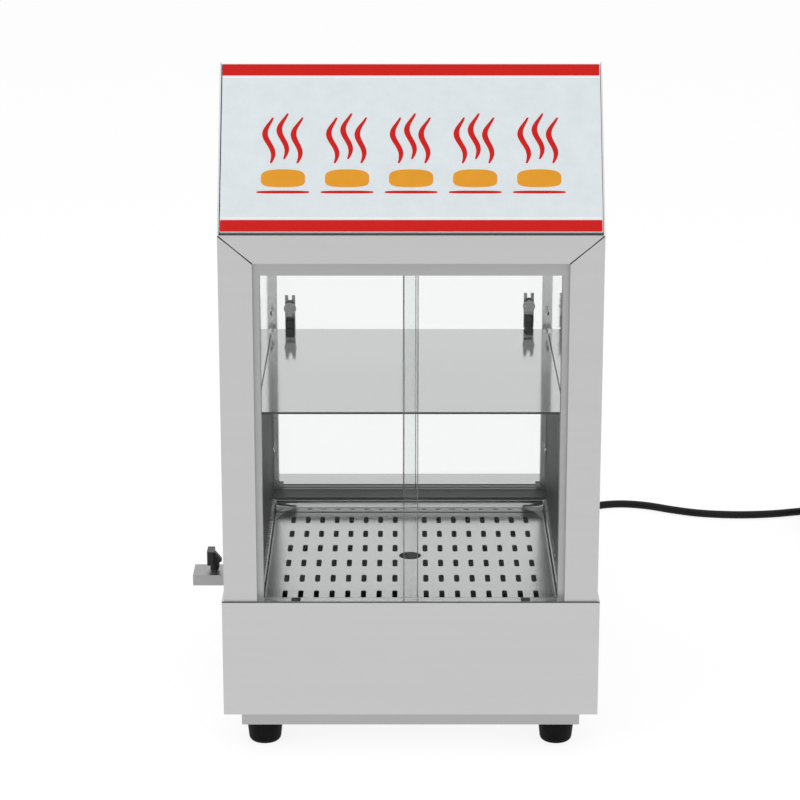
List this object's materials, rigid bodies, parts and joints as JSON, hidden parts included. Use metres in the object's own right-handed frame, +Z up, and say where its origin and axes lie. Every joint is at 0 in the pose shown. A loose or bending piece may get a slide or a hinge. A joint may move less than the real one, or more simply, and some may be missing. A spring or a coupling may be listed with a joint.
{
  "type": "hot dog steamer",
  "caption": "Countertop steamer cabinet with a heated water well, perforated tray, warm shelf, sliding glass doors front and rear and a sign hood.",
  "frame": {"origin": "middle of the cabinet's footprint at table level, with the drain tap and the strain relief counted and the free lead left out", "axes": "+X to the right seen from the customer's side, +Y from the customer's side to the operator's side, +Z up"},
  "size_m": [0.8085, 0.7445, 0.6486],
  "materials": {
    "brushed_steel": "fine brushed stainless sheet",
    "polished_steel": "mirror-polished stainless sheet",
    "dull_steel": "dark satin steel",
    "tray_steel": "satin stainless sheet",
    "door_glass": "clear tempered glass",
    "sign_plate": "printed gloss plate, pale with red bands",
    "rubber_feet": "matt black rubber",
    "cord_rubber": "semi-matt black jacket",
    "black_plastic": "moulded black plastic",
    "lamp_lens": "translucent lens",
    "tap_metal": "nickel plated",
    "plated_screws": "plated steel"
  },
  "bodies": {
    "cabinet": {"base_shell": "brushed_steel", "base_rear_panel": "brushed_steel", "base_deck": "brushed_steel", "bottom_pan": "brushed_steel", "foot_front_left": "rubber_feet", "foot_front_right": "rubber_feet", "foot_rear_left": "rubber_feet", "foot_rear_right": "rubber_feet", "foot_screws": "plated_screws", "side_panel_left": "brushed_steel", "side_panel_right": "brushed_steel", "front_header": "brushed_steel", "rear_header": "brushed_steel", "ceiling_panel": "brushed_steel", "upper_liner_left": "polished_steel", "upper_liner_right": "polished_steel", "lower_liner_left": "dull_steel", "lower_liner_right": "dull_steel", "hood_end_left": "brushed_steel", "hood_end_right": "brushed_steel", "hood_cover": "brushed_steel", "sign_front": "sign_plate", "sign_rear": "sign_plate", "front_top_track": "brushed_steel", "front_bottom_track": "brushed_steel", "front_side_tracks": "brushed_steel", "rear_top_track": "brushed_steel", "rear_bottom_track": "brushed_steel", "rear_side_tracks": "brushed_steel", "water_tank": "brushed_steel", "tray_ledges": "brushed_steel", "shelf_ledges": "brushed_steel", "heating_element": "dull_steel", "liner_screws": "plated_screws", "drain_tap": "tap_metal", "drain_guard": "brushed_steel", "thermostat_body": "dull_steel", "power_switch": "black_plastic", "pilot_lamp": "lamp_lens", "cord_gland": "cord_rubber", "cord_lead": "cord_rubber", "cord_coil": "cord_rubber", "cord_tail": "cord_rubber", "cord_plug": "cord_rubber"},
    "front_door_left": {"front_door_left": "door_glass"},
    "front_door_right": {"front_door_right": "door_glass"},
    "rear_door_left": {"rear_door_left": "door_glass", "rear_handle_left": "polished_steel"},
    "rear_door_right": {"rear_door_right": "door_glass", "rear_handle_right": "polished_steel"},
    "drain_lever": {"drain_lever": "black_plastic"},
    "thermostat_knob": {"thermostat_knob": "black_plastic"},
    "power_rocker": {"power_rocker": "black_plastic"},
    "upper_shelf": {"upper_shelf": "polished_steel"},
    "perforated_tray": {"perforated_tray": "tray_steel"}
  },
  "joints": [
    {"name": "front_door_left_slide", "type": "slide", "parent": "cabinet", "child": "front_door_left", "axis": [1, 0, 0], "range_m": [0, 0.135]},
    {"name": "front_door_right_slide", "type": "slide", "parent": "cabinet", "child": "front_door_right", "axis": [1, 0, 0], "range_m": [-0.135, 0]},
    {"name": "rear_door_left_slide", "type": "slide", "parent": "cabinet", "child": "rear_door_left", "axis": [1, 0, 0], "range_m": [0, 0.135]},
    {"name": "rear_door_right_slide", "type": "slide", "parent": "cabinet", "child": "rear_door_right", "axis": [1, 0, 0], "range_m": [-0.135, 0]},
    {"name": "drain_lever_turn", "type": "hinge", "parent": "cabinet", "child": "drain_lever", "pos_m": [-0.1775, 0.01, 0.11], "axis": [0, 0, 1], "range_deg": [0, 90]},
    {"name": "thermostat_turn", "type": "hinge", "parent": "cabinet", "child": "thermostat_knob", "pos_m": [-0.0485, 0.181, 0.098], "axis": [0, -1, 0], "range_deg": [0, 270]},
    {"name": "power_rocker_tilt", "type": "hinge", "parent": "cabinet", "child": "power_rocker", "pos_m": [0.0215, 0.18, 0.098], "axis": [0, 0, 1], "range_deg": [-20, 0]},
    {"name": "upper_shelf_lift", "type": "slide", "parent": "cabinet", "child": "upper_shelf", "axis": [0, 0, 1], "range_m": [0, 0.1]},
    {"name": "perforated_tray_lift", "type": "slide", "parent": "cabinet", "child": "perforated_tray", "axis": [0, 0, 1], "range_m": [0, 0.1]}
  ]
}
